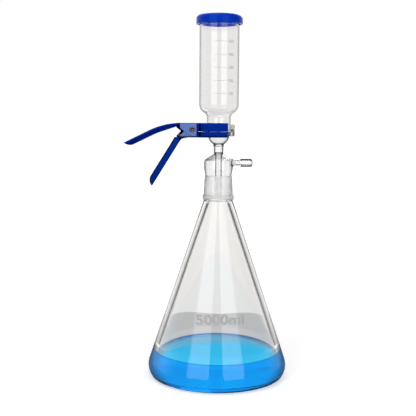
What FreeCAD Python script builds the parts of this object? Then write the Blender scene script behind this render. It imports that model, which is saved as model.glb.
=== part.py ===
import FreeCAD, Part
import math
import os

# Vacuum filtration unit: a conical receiving flask with a ground neck, a glass
# filter head with a side arm, a graduated funnel cup with a plastic lid, and a
# sprung two-lever clamp that grips the two glass flanges.
# Millimetres, +Z up. The origin is the centre of the flask's base. The clamp's
# handles point along -X and the hose nozzle along +X.

# Receiving flask
flask_radius = 114.6        # widest, at the heel
flask_body_height = 294.5   # base to the mouth of the ground joint
flask_wall = 9.2
heel_radius = 27.0          # upper arc of the heel
foot_radius = 12.0          # lower arc, which meets the flat base
heel_turn = 30.0            # degrees below level where the two arcs meet
shoulder_drop = 1.6         # shoulder below the joint's mouth
shoulder_step = 1.9         # shoulder outside the ground cone
neck_wall = 6.0
filtrate_level = 42.6
filtrate_gap = 0.05

# Ground joint 45/40, taper 1 in 10 on the diameter
joint_radius = 22.5
joint_length = 40.0
joint_slope = 0.05
joint_gap = 0.05

# Filter head
head_height = 115.5         # joint's mouth to the top of the flange
socket_wall = 2.0
socket_bead_height = 8.3
socket_bead_step = 1.2
chamber_radius = 23.7
chamber_height = 35.0       # top of the joint to the top of the dome
chamber_foot = 11.0         # height of the taper from the joint to the chamber's wall
chamber_wall = 2.2
dome_corner = 6.0
dome_rise = 13.0            # start of the dome's corner to its top
stem_radius = 8.0
stem_wall = 2.2
stem_bead_step = 1.5
stem_bead_height = 3.0
drip_radius = 5.6
drip_wall = 1.6
drip_tip_rise = 3.0         # tip above the joint's mouth
bowl_radius = 17.5
bowl_wall = 2.2
bowl_rise = 1.5             # centre of the bowl's curve above the flange's underside
head_flange_height = 11.2

# Side arm and hose nozzle
arm_drop = 14.6             # axis below the top of the dome
arm_waist_radius = 4.1
arm_waist_reach = 4.6       # waist outside the chamber wall
arm_root_round = 5.0        # between the chamber wall and the arm
arm_root_bore = 4.8
arm_bore_radius = 3.0
arm_bead_step = 1.0
arm_neck_step = 5.8         # waist to the neck behind the bead
nozzle_radius = 6.6
nozzle_step = 8.2           # waist to the nozzle's shoulder
nozzle_length = 19.7
nozzle_round = 2.8

# Sintered disc and membrane
membrane_radius = 23.5
membrane_thickness = 0.2
frit_margin = 4.5           # membrane edge outside the sintered disc
frit_thickness = 4.0
frit_gap = 0.03
flange_margin = 2.7         # both flanges outside the membrane

# Funnel cup
cup_radius = 32.3
cup_height = 177.8          # flange to rim
cup_wall = 2.3
cup_flange_height = 7.5
cup_neck_radius = 19.5
cup_neck_height = 10.4      # flange to the start of the fillet
cup_shoulder = 16.0
cup_neck_fillet = 9.5
cup_rim_step = 1.6
cup_rim_height = 4.6

# Lid
lid_skirt_depth = 10.1      # below the cup's rim
lid_plug_depth = 11.1
lid_plate = 4.3
lid_skirt_wall = 3.4
lid_plug_wall = 2.5
lid_gap = 0.4
lid_edge_radius = 6.0
lid_crown = 0.3

# Clamp
sheet = 1.8
plate_gap = 0.3             # jaw plate to glass flange
jaw_side_gap = 1.3          # skirt to glass flange
notch_gap = 1.6             # fork to the cup's neck
jaw_reach = 10.0            # fork tips past the axis
seam_gap_back = 1.3         # between the two levers' skirts behind the flanges
seam_gap_front = 0.4        # and at the fork's tips
seam_drop = 1.8             # upper skirt's edge below the middle of the clamp
flare_start = -31.0         # where the skirts begin to curve in to the ears
flare_length = 8.2
ear_step = 7.0              # ears inside the skirts
ear_gap = 0.5
ear_reach = 20.0            # ears behind the pivot
upper_ear_depth = 7.5
lower_ear_depth = 2.5
pivot_behind = 17.5         # pivot behind the skirts' radius
pivot_rise = 1.4            # pivot above the middle of the clamp
upper_lobe = 10.2
lower_lobe = 7.2
bend_radius = 2.4           # outside of the sheet's bends
handle_half_width = 10.0
handle_depth = 8.6
handle_root_depth = 5.5
handle_root_gap = 3.0
handle_tip_slant = 12.0
handle_slot = 0.8
# each handle as straight run, bend radius and turn in degrees, from the pivot on
upper_runs = [(14.0, 120.0, 26.0), (46.0, 0, 0)]
lower_runs = [(2.0, 16.0, 10.0), (7.5, 8.0, 48.0), (86.0, 0, 0)]

# Pin and spring
pin_radius = 2.5
pin_gap = 0.05
pin_head_radius = 4.7
pin_head_height = 1.6
pin_head_gap = 0.15
pin_dimple_radius = 1.6
wire_radius = 1.1
coil_radius = 5.4
coil_turns = 7
coil_pitch = 2.5
spring_leg = 18.0
spring_gap = 0.05

# Heights and radii that follow
joint_top = flask_body_height + joint_length
head_top = flask_body_height + head_height
dome_top = joint_top + chamber_height
arm_height = dome_top - arm_drop
flange_radius = membrane_radius + flange_margin
frit_radius = membrane_radius - frit_margin
head_flange_bottom = head_top - head_flange_height
cup_bottom = head_top + membrane_thickness
cup_flange_top = cup_bottom + cup_flange_height
cup_top = cup_bottom + cup_height
plate_top = cup_flange_top + plate_gap + sheet
plate_bottom = head_flange_bottom - plate_gap - sheet
clamp_middle = (plate_top + plate_bottom) / 2
skirt_half_width = flange_radius + jaw_side_gap + sheet
ear_half_width = skirt_half_width - ear_step
lower_ear_half_width = ear_half_width - sheet - ear_gap
notch_radius = max(cup_neck_radius, bowl_radius) + notch_gap
pivot = (-(skirt_half_width + pivot_behind), clamp_middle + pivot_rise)
ear_back = pivot[0] - ear_reach


def in_xz(a, b):
    return FreeCAD.Vector(a, 0, b)


def in_xy(a, b):
    return FreeCAD.Vector(a, b, 0)


def on_circle(centre, radius, degrees):
    angle = math.radians(degrees)
    return (centre[0] + radius * math.cos(angle), centre[1] + radius * math.sin(angle))


def arc(centre, radius, first, last):
    # an arc step of an outline: its middle point and its end point
    return (on_circle(centre, radius, (first + last) / 2), on_circle(centre, radius, last))


def tangent_angle(point, centre, radius, side):
    # direction from the centre to where a line from the point touches the circle
    dx = point[0] - centre[0]
    dy = point[1] - centre[1]
    opening = math.degrees(math.acos(radius / math.hypot(dx, dy)))
    return (math.degrees(math.atan2(dy, dx)) + side * opening) % 360


def outline_edges(steps, place):
    # a step is a point for a straight edge, or a pair of points for an arc
    edges = []
    here = steps[0]
    for step in steps[1:]:
        if isinstance(step[0], tuple):
            middle, there = step
            edges.append(Part.Arc(place(*here), place(*middle), place(*there)).toShape())
        else:
            there = step
            if math.dist(here, there) > 1e-6:
                edges.append(Part.LineSegment(place(*here), place(*there)).toShape())
        here = there
    return edges


def outline_face(steps, place):
    return Part.Face(Part.Wire(outline_edges(steps + steps[:1], place)))


def revolved(steps):
    return outline_face(steps, in_xz).revolve(FreeCAD.Vector(0, 0, 0), FreeCAD.Vector(0, 0, 1), 360)


def revolved_along_x(steps, height):
    face = outline_face(steps, in_xz)
    face.translate(FreeCAD.Vector(0, 0, height))
    return face.revolve(FreeCAD.Vector(0, 0, height), FreeCAD.Vector(1, 0, 0), 360)


def across(steps, half_width):
    # a side-view outline carried from one side of the clamp to the other
    face = outline_face(steps, in_xz)
    face.translate(FreeCAD.Vector(0, -half_width, 0))
    return face.extrude(FreeCAD.Vector(0, 2 * half_width, 0))


def upright(steps, low, high):
    # a plan outline carried from one height to another
    face = outline_face(steps, in_xy)
    face.translate(FreeCAD.Vector(0, 0, low))
    return face.extrude(FreeCAD.Vector(0, 0, high - low))


def joint_radius_at(height):
    return joint_radius - joint_slope * (height - flask_body_height)


# Flask and filtrate

def flask_side(inset):
    # the body's outline from the base to the shoulder, set in by a wall
    foot_x = flask_radius - heel_radius
    foot_x += (heel_radius - foot_radius) * math.cos(math.radians(heel_turn))
    foot = (foot_x, foot_radius)
    heel = on_circle(foot, foot_radius - heel_radius, -heel_turn)
    shoulder = (joint_radius + shoulder_step, flask_body_height - shoulder_drop)
    lean = tangent_angle(shoulder, heel, heel_radius, -1)
    return [
        (0, inset),
        (foot[0], inset),
        arc(foot, foot_radius - inset, -90, -heel_turn),
        arc(heel, heel_radius - inset, -heel_turn, lean),
        on_circle(shoulder, -inset, lean),
    ]


def make_flask():
    neck_bottom = joint_radius - joint_gap
    neck_top = joint_radius_at(joint_top) - joint_gap
    outside = revolved(flask_side(0) + [
        (neck_bottom, flask_body_height),
        (neck_top, joint_top),
        (0, joint_top),
    ])
    inside = revolved(flask_side(flask_wall) + [
        (neck_bottom - neck_wall, flask_body_height + neck_wall),
        (neck_top - neck_wall, joint_top),
        (0, joint_top),
    ])
    return outside.cut(inside)


def make_filtrate():
    body = revolved(flask_side(flask_wall + filtrate_gap) + [(0, flask_body_height)])
    below = Part.makeCylinder(flask_radius, filtrate_level)
    return body.common(below)


# Filter head

def bowl_curve(radius, neck, top):
    # from the stem up the round of the bowl to a height over the flange's underside
    centre = (0, head_flange_bottom + bowl_rise)
    start = -math.degrees(math.acos(neck / radius))
    end = math.degrees(math.asin((top - bowl_rise) / radius))
    return [on_circle(centre, radius, start), arc(centre, radius, start, end)]


def dome_curve(inset, top_radius):
    # from the chamber's wall over its corner to the seal round the stem
    corner = (chamber_radius - dome_corner, dome_top - dome_rise)
    peak = (stem_radius, dome_top)
    lean = tangent_angle(peak, corner, dome_corner, -1)
    start = on_circle(corner, dome_corner - inset, 0)
    end = on_circle(corner, dome_corner - inset, lean)
    slope = math.tan(math.radians(lean - 90))
    last = (top_radius, end[1] + slope * (top_radius - end[0]))
    return [start, arc(corner, dome_corner - inset, 0, lean), last]


def head_outside():
    low = flask_body_height
    bead_top = low + socket_bead_height
    bead_radius = joint_radius + socket_wall + socket_bead_step
    round_off = socket_bead_step
    socket_top = joint_radius_at(joint_top) + socket_wall
    bowl = bowl_curve(bowl_radius, stem_radius, 0)
    bead_low = bowl[0][1] - stem_bead_height
    bead_widest = (stem_radius + stem_bead_step, bead_low + stem_bead_height / 2)
    edge = 1.2
    return revolved([
        (0, low),
        (bead_radius - round_off, low),
        arc((bead_radius - round_off, low + round_off), round_off, -90, 0),
        (bead_radius, bead_top - round_off),
        arc((bead_radius - round_off, bead_top - round_off), round_off, 0, 90),
        (joint_radius_at(bead_top) + socket_wall, bead_top),
        (socket_top, joint_top - 1.2),
        (socket_top - 0.8, joint_top),
        (chamber_radius, joint_top + chamber_foot),
    ] + dome_curve(0, stem_radius) + [
        (stem_radius, bead_low),
        (bead_widest, bowl[0]),
        bowl[1],
        (flange_radius - edge, head_flange_bottom),
        arc((flange_radius - edge, head_flange_bottom + edge), edge, -90, 0),
        (flange_radius, head_top - edge),
        arc((flange_radius - edge, head_top - edge), edge, 0, 90),
        (0, head_top),
    ])


def liquid_way():
    # the seat of the sintered disc, the bowl, the stem's bore and the drip tube's bore
    seat = frit_radius + frit_gap
    ledge = head_top - frit_thickness
    bowl_inside = bowl_radius - bowl_wall
    bore = stem_radius - stem_wall
    drip_bore = drip_radius - drip_wall
    return revolved([
        (0, flask_body_height),
        (drip_bore, flask_body_height),
        (drip_bore, dome_top - 2.0),
        (bore, dome_top + 3.0),
    ] + bowl_curve(bowl_inside, bore, bowl_rise) + [
        (bowl_inside, ledge),
        (seat, ledge),
        (seat, head_top),
        (0, head_top),
    ])


def air_way():
    # the hollow round the drip tube, from the chamber's dome down through the socket
    low = flask_body_height
    tip = low + drip_tip_rise
    socket_top = joint_radius_at(joint_top)
    return revolved([
        (0, low),
        (joint_radius, low),
        (socket_top, joint_top),
        (chamber_radius - chamber_wall, joint_top + chamber_foot),
    ] + dome_curve(chamber_wall, drip_radius) + [
        (drip_radius, tip),
        (0, tip),
    ])


def arm_root():
    # the trumpet that the arm grows out of, trimmed where the dome's slope runs on to it
    waist_x = chamber_radius + arm_waist_reach
    deep_x = chamber_radius - dome_corner - arm_root_round
    flare = (waist_x, arm_waist_radius + arm_root_round)
    trumpet = revolved_along_x([
        (deep_x, 0),
        (deep_x, flare[1]),
        (waist_x - arm_root_round, flare[1]),
        arc(flare, arm_root_round, 180, 270),
        (waist_x, 0),
    ], arm_height)
    start_x = stem_radius + dome_corner / 2
    slope_top = arm_height + arm_waist_radius
    slope = (dome_top - dome_corner / 2 - slope_top) / (waist_x - start_x)
    return trumpet.common(revolved([
        (0, joint_top),
        (2 * waist_x, joint_top),
        (2 * waist_x, slope_top),
        (waist_x, slope_top),
        (0, slope_top + slope * waist_x),
    ]))


def arm_outside():
    # from the waist over a bead and a second waist to the hose nozzle
    waist_x = chamber_radius + arm_waist_reach
    neck_x = waist_x + arm_neck_step
    nozzle_x = waist_x + nozzle_step
    end_x = nozzle_x + nozzle_length
    bead = arm_waist_radius + arm_bead_step
    shoulder = 0.8
    return revolved_along_x([
        (waist_x, 0),
        (waist_x, arm_waist_radius),
        (((waist_x + neck_x) / 2, bead), (neck_x, arm_waist_radius)),
        (nozzle_x, nozzle_radius - shoulder),
        (nozzle_x + shoulder, nozzle_radius),
        (end_x - nozzle_round, nozzle_radius),
        arc((end_x - nozzle_round, nozzle_radius - nozzle_round), nozzle_round, 90, 0),
        (end_x, 0),
    ], arm_height)


def arm_bore():
    waist_x = chamber_radius + arm_waist_reach
    inside_x = chamber_radius - chamber_wall
    end_x = waist_x + nozzle_step + nozzle_length
    return revolved_along_x([
        (drip_radius + chamber_wall, 0),
        (drip_radius + chamber_wall, arm_root_bore),
        (inside_x, arm_root_bore),
        (waist_x, arm_bore_radius),
        (end_x, arm_bore_radius),
        (end_x, 0),
    ], arm_height)


def make_head():
    glass = head_outside().fuse([arm_root(), arm_outside()])
    return glass.cut([liquid_way(), air_way(), arm_bore()])


def make_frit():
    disc = Part.makeCylinder(frit_radius, frit_thickness)
    disc.translate(FreeCAD.Vector(0, 0, head_top - frit_thickness))
    return disc


def make_membrane():
    disc = Part.makeCylinder(membrane_radius, membrane_thickness)
    disc.translate(FreeCAD.Vector(0, 0, head_top))
    return disc


# Funnel cup and lid

def cup_side(inset):
    # from the neck through its fillet and the round shoulder to the wall
    neck_x = cup_neck_radius - inset
    hollow = cup_neck_fillet + inset
    bulge = cup_shoulder - inset
    low = (neck_x + hollow, cup_flange_top + cup_neck_height)
    high_x = cup_radius - cup_shoulder
    reach = cup_neck_fillet + cup_shoulder
    rise = math.sqrt(reach ** 2 - (low[0] - high_x) ** 2)
    high = (high_x, low[1] + rise)
    turn = math.degrees(math.atan2(rise, low[0] - high_x))
    return [
        (neck_x, low[1]),
        arc(low, hollow, 180, 180 - turn),
        arc(high, bulge, -turn, 0),
    ]


def make_cup():
    edge = 1.2
    rim_x = cup_radius + cup_rim_step
    rim_low = cup_top - cup_rim_height
    outside = revolved([
        (0, cup_bottom),
        (flange_radius - edge, cup_bottom),
        arc((flange_radius - edge, cup_bottom + edge), edge, -90, 0),
        (flange_radius, cup_flange_top - edge),
        arc((flange_radius - edge, cup_flange_top - edge), edge, 0, 90),
        (cup_neck_radius, cup_flange_top),
    ] + cup_side(0) + [
        (cup_radius, rim_low),
        ((rim_x, cup_top - cup_rim_height / 2), (cup_radius, cup_top)),
        (0, cup_top),
    ])
    inside = revolved([
        (0, cup_bottom),
        (cup_neck_radius - cup_wall, cup_bottom),
    ] + cup_side(cup_wall) + [
        (cup_radius - cup_wall, cup_top),
        (0, cup_top),
    ])
    return outside.cut(inside)


def make_lid():
    under = cup_top + lid_gap
    top = under + lid_plate
    skirt_low = cup_top - lid_skirt_depth
    plug_low = cup_top - lid_plug_depth
    skirt_inside = cup_radius + cup_rim_step + lid_gap
    skirt_outside = skirt_inside + lid_skirt_wall
    plug_outside = cup_radius - cup_wall - lid_gap
    plug_inside = plug_outside - lid_plug_wall
    lip = 0.8
    flat = skirt_outside - lid_edge_radius
    crown = (flat ** 2 + lid_crown ** 2) / (2 * lid_crown)
    crown_turn = math.degrees(math.asin(flat / crown))
    return revolved([
        (0, under),
        (plug_inside, under),
        (plug_inside, plug_low),
        (plug_outside - lip, plug_low),
        (plug_outside, plug_low + lip),
        (plug_outside, under),
        (skirt_inside, under),
        (skirt_inside, skirt_low),
        (skirt_outside - lip, skirt_low),
        arc((skirt_outside - lip, skirt_low + lip), lip, -90, 0),
        (skirt_outside, top - lid_edge_radius),
        arc((flat, top - lid_edge_radius), lid_edge_radius, 0, 90),
        arc((0, top + lid_crown - crown), crown, 90 - crown_turn, 90),
    ])


# Clamp levers: each is one sheet-metal pressing, a forked jaw with skirts and ears
# that runs into a bent handle of channel section

def jaw_plan(ear_half, inset):
    # plan of the jaw from the fork's tip, through a reverse curve, to the ears' back
    wide = skirt_half_width - inset
    ear = ear_half - inset
    step = skirt_half_width - ear_half
    bend = (flare_length ** 2 + step ** 2) / (4 * step)
    turn = math.degrees(math.asin(flare_length / 2 / bend))
    out_centre = (flare_start, skirt_half_width - bend)
    in_centre = (flare_start - flare_length, ear_half + bend)
    return [
        (jaw_reach, wide),
        (flare_start, wide),
        arc(out_centre, bend - inset, 90, 90 + turn),
        arc(in_centre, bend + inset, 270 + turn, 270),
        (ear_back, ear),
        (ear_back, 0),
        (jaw_reach, 0),
    ]


def jaw_block(side, ear_half, inset):
    # half the jaw as a solid block, its web-side edge rounded as the sheet bends
    web = (plate_top if side > 0 else plate_bottom) - side * inset
    open_end = web - side * (plate_top - plate_bottom)
    block = upright(jaw_plan(ear_half, inset), min(web, open_end), max(web, open_end))
    bends = []
    for edge in block.Edges:
        box = edge.BoundBox
        on_web = abs(box.ZMin - web) + abs(box.ZMax - web) < 1e-6
        if on_web and box.XLength > 1e-6 and box.YMax > 1e-6:
            bends.append(edge)
    return block.makeFillet(bend_radius - inset, bends)


def both_halves(half):
    other = half.mirror(FreeCAD.Vector(0, 0, 0), FreeCAD.Vector(0, 1, 0))
    return half.fuse(other).removeSplitter()


def fork_notch():
    # the opening that lets the jaws pass round the glass neck
    round_end = Part.makeCylinder(notch_radius, 2 * flask_radius)
    mouth = Part.makeBox(2 * jaw_reach, 2 * notch_radius, 2 * flask_radius)
    mouth.translate(FreeCAD.Vector(0, -notch_radius, 0))
    notch = round_end.fuse(mouth)
    notch.translate(FreeCAD.Vector(0, 0, clamp_middle - flask_radius))
    return notch


def pin_hole():
    hole = Part.makeCylinder(pin_radius + pin_gap, 4 * ear_half_width)
    hole.rotate(FreeCAD.Vector(0, 0, 0), FreeCAD.Vector(1, 0, 0), 90)
    hole.translate(FreeCAD.Vector(pivot[0], 2 * ear_half_width, pivot[1]))
    return hole


def upper_outline():
    # side view of the upper skirt and ear, whose lobe goes round the pivot
    seam = clamp_middle - seam_drop
    back = (ear_back, plate_top - upper_ear_depth)
    start = -math.degrees(math.asin((pivot[1] - seam) / upper_lobe))
    end = tangent_angle(back, pivot, upper_lobe, 1) - 360
    return [
        (jaw_reach, plate_top),
        (jaw_reach, seam),
        on_circle(pivot, upper_lobe, start),
        arc(pivot, upper_lobe, start, end),
        back,
        (ear_back, plate_top),
    ]


def lower_outline():
    # side view of the lower skirt and ear, which stands inside the upper one
    seam = clamp_middle - seam_drop
    front = (flare_start - flare_length, seam - seam_gap_back)
    back = (ear_back, plate_bottom + lower_ear_depth)
    start = (tangent_angle(front, pivot, lower_lobe, 1) + 180) % 360 - 180
    end = tangent_angle(back, pivot, lower_lobe, -1)
    return [
        (jaw_reach, plate_bottom),
        (jaw_reach, seam - seam_gap_front),
        (flare_start, seam - seam_gap_back),
        front,
        on_circle(pivot, lower_lobe, start),
        arc(pivot, lower_lobe, start, end),
        back,
        (ear_back, plate_bottom),
    ]


def make_jaw(side):
    ear_half = ear_half_width if side > 0 else lower_ear_half_width
    shell = jaw_block(side, ear_half, 0).cut(jaw_block(side, ear_half, sheet))
    outline = upper_outline() if side > 0 else lower_outline()
    jaw = both_halves(shell).common(across(outline, skirt_half_width))
    return jaw.cut([fork_notch(), pin_hole()])


def handle_line(side, depth):
    # the handle in side view at a depth inside its outer face, from inside the jaw to
    # the tip, and its last heading: straight runs joined by bends that turn downwards
    web = plate_top if side > 0 else plate_bottom
    heading = 180
    here = (pivot[0], web - side * depth)
    line = [here]
    for run, radius, turn in (upper_runs if side > 0 else lower_runs):
        here = on_circle(here, run, heading)
        line.append(here)
        if turn > 0:
            bend = radius - side * depth
            centre = on_circle(here, bend, heading + 90)
            line.append(arc(centre, bend, heading - 90, heading - 90 + turn))
            heading += turn
            here = line[-1][1]
    return line, heading


def channel_section(side, x, web):
    # section across the handle: a web with a flange on each side, rounded at the bends
    wide = handle_half_width
    low = -handle_depth
    outer = bend_radius
    inner = bend_radius - sheet
    steps = [
        (-wide, low),
        (-wide, -outer),
        arc((outer - wide, -outer), outer, 180, 90),
        (wide - outer, 0),
        arc((wide - outer, -outer), outer, 90, 0),
        (wide, low),
        (wide - sheet, low),
        (wide - sheet, -outer),
        arc((wide - outer, -outer), inner, 0, 90),
        (outer - wide, -sheet),
        arc((outer - wide, -outer), inner, 90, 180),
        (sheet - wide, low),
    ]
    return outline_face(steps, lambda a, b: FreeCAD.Vector(x, a, web + side * b)).OuterWire


def handle_trim(side):
    # side view of what is cut from the channel, so that its flanges start behind the
    # jaw on the upper lever and below the jaw's web on the lower one
    if side > 0:
        inside = plate_top - sheet
        root = (ear_back - handle_root_gap, plate_top - handle_root_depth)
        run, radius, turn = upper_runs[0]
        centre = (pivot[0] - run, plate_top - radius)
        deep = radius - handle_depth
        touch = on_circle(centre, deep, tangent_angle(root, centre, deep, 1))
        return [
            (pivot[0] + 1, inside),
            (root[0], inside - 0.5),
            root,
            touch,
            (touch[0], inside - 3 * handle_depth),
            (pivot[0] + 1, inside - 3 * handle_depth),
        ]
    strip = handle_line(side, sheet)[0][:4]
    end = strip[-1]
    back = end[0] - 2 * handle_depth
    high = end[1] + 3 * handle_depth
    start = (pivot[0] + 1, strip[0][1])
    return [start] + strip + [(back, end[1]), (back, high), (pivot[0] + 1, high)]


def handle_end(side, tip, heading):
    # side view of what is cut off the tip, so that the flanges end in a rounded slant
    def at(deep, behind):
        return on_circle(on_circle(tip, deep, heading + 90 * side), behind, heading + 180)

    slant = handle_tip_slant
    return [
        tip,
        (at(0.65 * handle_depth, 0.38 * slant), at(handle_depth, slant)),
        at(2 * handle_depth, slant),
        at(2 * handle_depth, -slant),
        at(0, -slant),
    ]


def make_handle(side):
    line, heading = handle_line(side, 0)
    path = Part.Wire(outline_edges(line, in_xz))
    section = channel_section(side, line[0][0], line[0][1])
    channel = path.makePipeShell([section], True, False)
    wide = 2 * handle_half_width
    end = handle_end(side, line[-1], heading)
    return channel.cut([across(handle_trim(side), wide), across(end, wide)])


def make_lever(side):
    jaw = make_jaw(side)
    if side < 0:
        # slots free the handle's strip where it dips below the lower jaw's web
        slot_start = pivot[0] - lower_runs[0][0] - 1.0
        wide = handle_half_width + handle_slot
        slot = Part.makeBox(slot_start - ear_back + 1, 2 * wide, 2 * sheet)
        slot.translate(FreeCAD.Vector(ear_back - 1, -wide, plate_bottom - sheet / 2))
        jaw = jaw.cut(slot)
    return jaw.fuse(make_handle(side)).removeSplitter()


# Pin and spring

def make_pin():
    head_in = ear_half_width + pin_head_gap
    head_out = head_in + pin_head_height
    edge = 0.6
    half = [
        (0, 0),
        (head_out - pin_dimple_radius, 0),
        (head_out, pin_dimple_radius),
        (head_out, pin_head_radius - edge),
        (head_out - edge, pin_head_radius),
        (head_in, pin_head_radius),
        (head_in, pin_radius),
        (0, pin_radius),
    ]
    right = revolved_along_x(half, 0)
    left = right.mirror(FreeCAD.Vector(0, 0, 0), FreeCAD.Vector(1, 0, 0))
    pin = right.fuse(left).removeSplitter()
    pin.rotate(FreeCAD.Vector(0, 0, 0), FreeCAD.Vector(0, 0, 1), 90)
    pin.translate(FreeCAD.Vector(pivot[0], 0, pivot[1]))
    return pin


def make_spring():
    # a close coil round the pin, whose two legs press the webs apart behind it
    clear = sheet + wire_radius + spring_gap
    leg_x = pivot[0] - spring_leg
    upper_end = (leg_x, plate_top - clear - 0.4)
    lower_end = (leg_x, plate_bottom + clear + 0.1)
    start = tangent_angle(upper_end, pivot, coil_radius, -1)
    finish = tangent_angle(lower_end, pivot, coil_radius, 1)
    turn = (start - finish) % 360 + 360 * coil_turns
    rise = coil_pitch * turn / 360
    coil = Part.makeHelix(coil_pitch, rise, coil_radius)
    coil.translate(FreeCAD.Vector(0, 0, -rise / 2))
    # the helix axis goes from +Z to +Y, and its start turns to the upper leg
    coil.rotate(FreeCAD.Vector(0, 0, 0), FreeCAD.Vector(1, 0, 0), -90)
    coil.rotate(FreeCAD.Vector(0, 0, 0), FreeCAD.Vector(0, 1, 0), -start)
    coil.translate(FreeCAD.Vector(pivot[0], 0, pivot[1]))
    edge = coil.Edges[0]
    first = edge.valueAt(edge.FirstParameter)
    last = edge.valueAt(edge.LastParameter)
    into = edge.tangentAt(edge.FirstParameter)
    out = edge.tangentAt(edge.LastParameter)
    upper_length = math.dist((first.x, first.z), upper_end)
    lower_length = math.dist((last.x, last.z), lower_end)
    upper_leg = Part.LineSegment(first - into * upper_length, first).toShape()
    lower_leg = Part.LineSegment(last, last + out * lower_length).toShape()
    path = Part.Wire([upper_leg, edge, lower_leg])
    circle = Part.Circle(first - into * upper_length, into, wire_radius)
    return path.makePipeShell([Part.Wire([circle.toShape()])], True, True)


def write(name, shape):
    box = shape.BoundBox
    corners = [round(v, 1) for v in (box.XMin, box.YMin, box.ZMin, box.XMax, box.YMax, box.ZMax)]
    print(name, "solids", len(shape.Solids), "valid", shape.isValid(), "box", corners)
    shape.exportStep("parts/" + name + ".step")


os.makedirs("parts", exist_ok=True)
write("receiving_flask", make_flask())
write("filtrate", make_filtrate())
write("filter_head", make_head())
write("frit_disc", make_frit())
write("filter_membrane", make_membrane())
write("funnel_cup", make_cup())
write("cup_lid", make_lid())
write("clamp_upper_lever", make_lever(1))
write("clamp_lower_lever", make_lever(-1))
write("pivot_pin", make_pin())
write("torsion_spring", make_spring())
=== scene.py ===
import bpy
import math
from mathutils import Matrix, Vector


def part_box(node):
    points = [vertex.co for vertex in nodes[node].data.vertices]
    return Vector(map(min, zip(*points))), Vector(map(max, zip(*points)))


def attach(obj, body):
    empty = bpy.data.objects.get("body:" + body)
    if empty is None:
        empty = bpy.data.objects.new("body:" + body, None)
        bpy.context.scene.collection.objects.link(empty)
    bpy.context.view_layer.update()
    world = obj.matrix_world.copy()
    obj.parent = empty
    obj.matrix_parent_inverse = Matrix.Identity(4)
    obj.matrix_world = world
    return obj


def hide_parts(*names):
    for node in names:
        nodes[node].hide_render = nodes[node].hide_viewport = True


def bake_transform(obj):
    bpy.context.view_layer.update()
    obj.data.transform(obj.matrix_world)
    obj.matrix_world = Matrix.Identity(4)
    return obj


# Vacuum filtration unit: conical flask with blue filtrate, filter head, funnel cup, clamp and lid.
# Metres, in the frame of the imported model: +Z up, clamp handles along -X, hose nozzle along +X.

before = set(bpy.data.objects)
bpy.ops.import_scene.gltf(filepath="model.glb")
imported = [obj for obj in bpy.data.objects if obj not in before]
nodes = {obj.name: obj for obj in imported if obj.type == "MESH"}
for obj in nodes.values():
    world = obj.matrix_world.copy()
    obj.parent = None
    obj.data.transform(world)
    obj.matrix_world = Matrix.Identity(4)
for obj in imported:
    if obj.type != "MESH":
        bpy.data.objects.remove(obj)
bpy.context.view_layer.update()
print("frame loaded:", len(nodes), "nodes")


# Camera

cameraSetup = {
    "distance": 1.361,      # from the unit's axis
    "height": 0.4249,
    "azimuth": -10.0,       # degrees from the front, negative towards the clamp handles
    "pitchDown": 6.06,
    "yaw": 0.70,
    "roll": 0.40,
    "fieldOfView": 28.14,
}


def placeCamera(setup):
    bpy.ops.object.camera_add()
    camera = bpy.context.object
    camera.name = "studioCamera"
    camera.data.sensor_fit = "HORIZONTAL"
    camera.data.angle = math.radians(setup["fieldOfView"])
    turn = math.radians(setup["azimuth"])
    aim = Matrix.Rotation(turn + math.radians(setup["yaw"]), 4, "Z")
    aim = aim @ Matrix.Rotation(math.radians(90 - setup["pitchDown"]), 4, "X")
    aim = aim @ Matrix.Rotation(math.radians(setup["roll"]), 4, "Z")
    place = Vector((math.sin(turn), -math.cos(turn), 0)) * setup["distance"]
    place.z = setup["height"]
    camera.matrix_world = Matrix.Translation(place) @ aim
    bpy.context.scene.camera = camera


placeCamera(cameraSetup)
bpy.context.scene.view_settings.view_transform = "Standard"
print("camera placed")


# Small helpers for shader nodes: each value they take is a number, a colour or another node's socket

black = (0, 0, 0, 1)
white = (1, 1, 1, 1)
aroundZ = (1, 1, 0)     # the axes that count in a distance from an upright line
aroundY = (1, 0, 1)     # and from a line along Y


def addNode(tree, kind, place, **settings):
    node = tree.nodes.new(kind)
    node.location = place
    for key, value in settings.items():
        setattr(node, key, value)
    return node


def join(tree, *pairs):
    for start, end in pairs:
        tree.links.new(start, end)


def fill(tree, values):
    for socket, value in values:
        if isinstance(value, bpy.types.NodeSocket):
            tree.links.new(value, socket)
        else:
            socket.default_value = value


def blankMaterial(name):
    material = bpy.data.materials.new(name)
    material.use_nodes = True
    material.node_tree.nodes.clear()
    return material, material.node_tree


def mathNode(tree, operation, place, *values):
    node = addNode(tree, "ShaderNodeMath", place, operation=operation)
    fill(tree, zip(node.inputs, values))
    return node.outputs[0]


def vectorNode(tree, operation, place, *values):
    node = addNode(tree, "ShaderNodeVectorMath", place, operation=operation)
    fill(tree, zip(node.inputs, values))
    return node.outputs["Value" if operation == "LENGTH" else "Vector"]


def lengthAlong(tree, place, vector, axes):
    scaled = vectorNode(tree, "MULTIPLY", place, vector, axes)
    return vectorNode(tree, "LENGTH", (place[0] + 150, place[1]), scaled)


def axesNode(tree, place, vector):
    node = addNode(tree, "ShaderNodeSeparateXYZ", place)
    fill(tree, [(node.inputs[0], vector)])
    return node.outputs


def rangeNode(tree, place, value, ends, results=(0.0, 1.0), **settings):
    node = addNode(tree, "ShaderNodeMapRange", place, **settings)
    sockets = [node.inputs[name] for name in ("Value", "From Min", "From Max", "To Min", "To Max")]
    fill(tree, zip(sockets, (value, *ends, *results)))
    return node.outputs["Result"]


def mixNode(tree, place, factor, first, second, kind="RGBA", **settings):
    node = addNode(tree, "ShaderNodeMix", place, data_type=kind, **settings)
    fill(tree, [(node.inputs["Factor"], factor), (node.inputs["A"], first), (node.inputs["B"], second)])
    return node.outputs["Result"]


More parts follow.
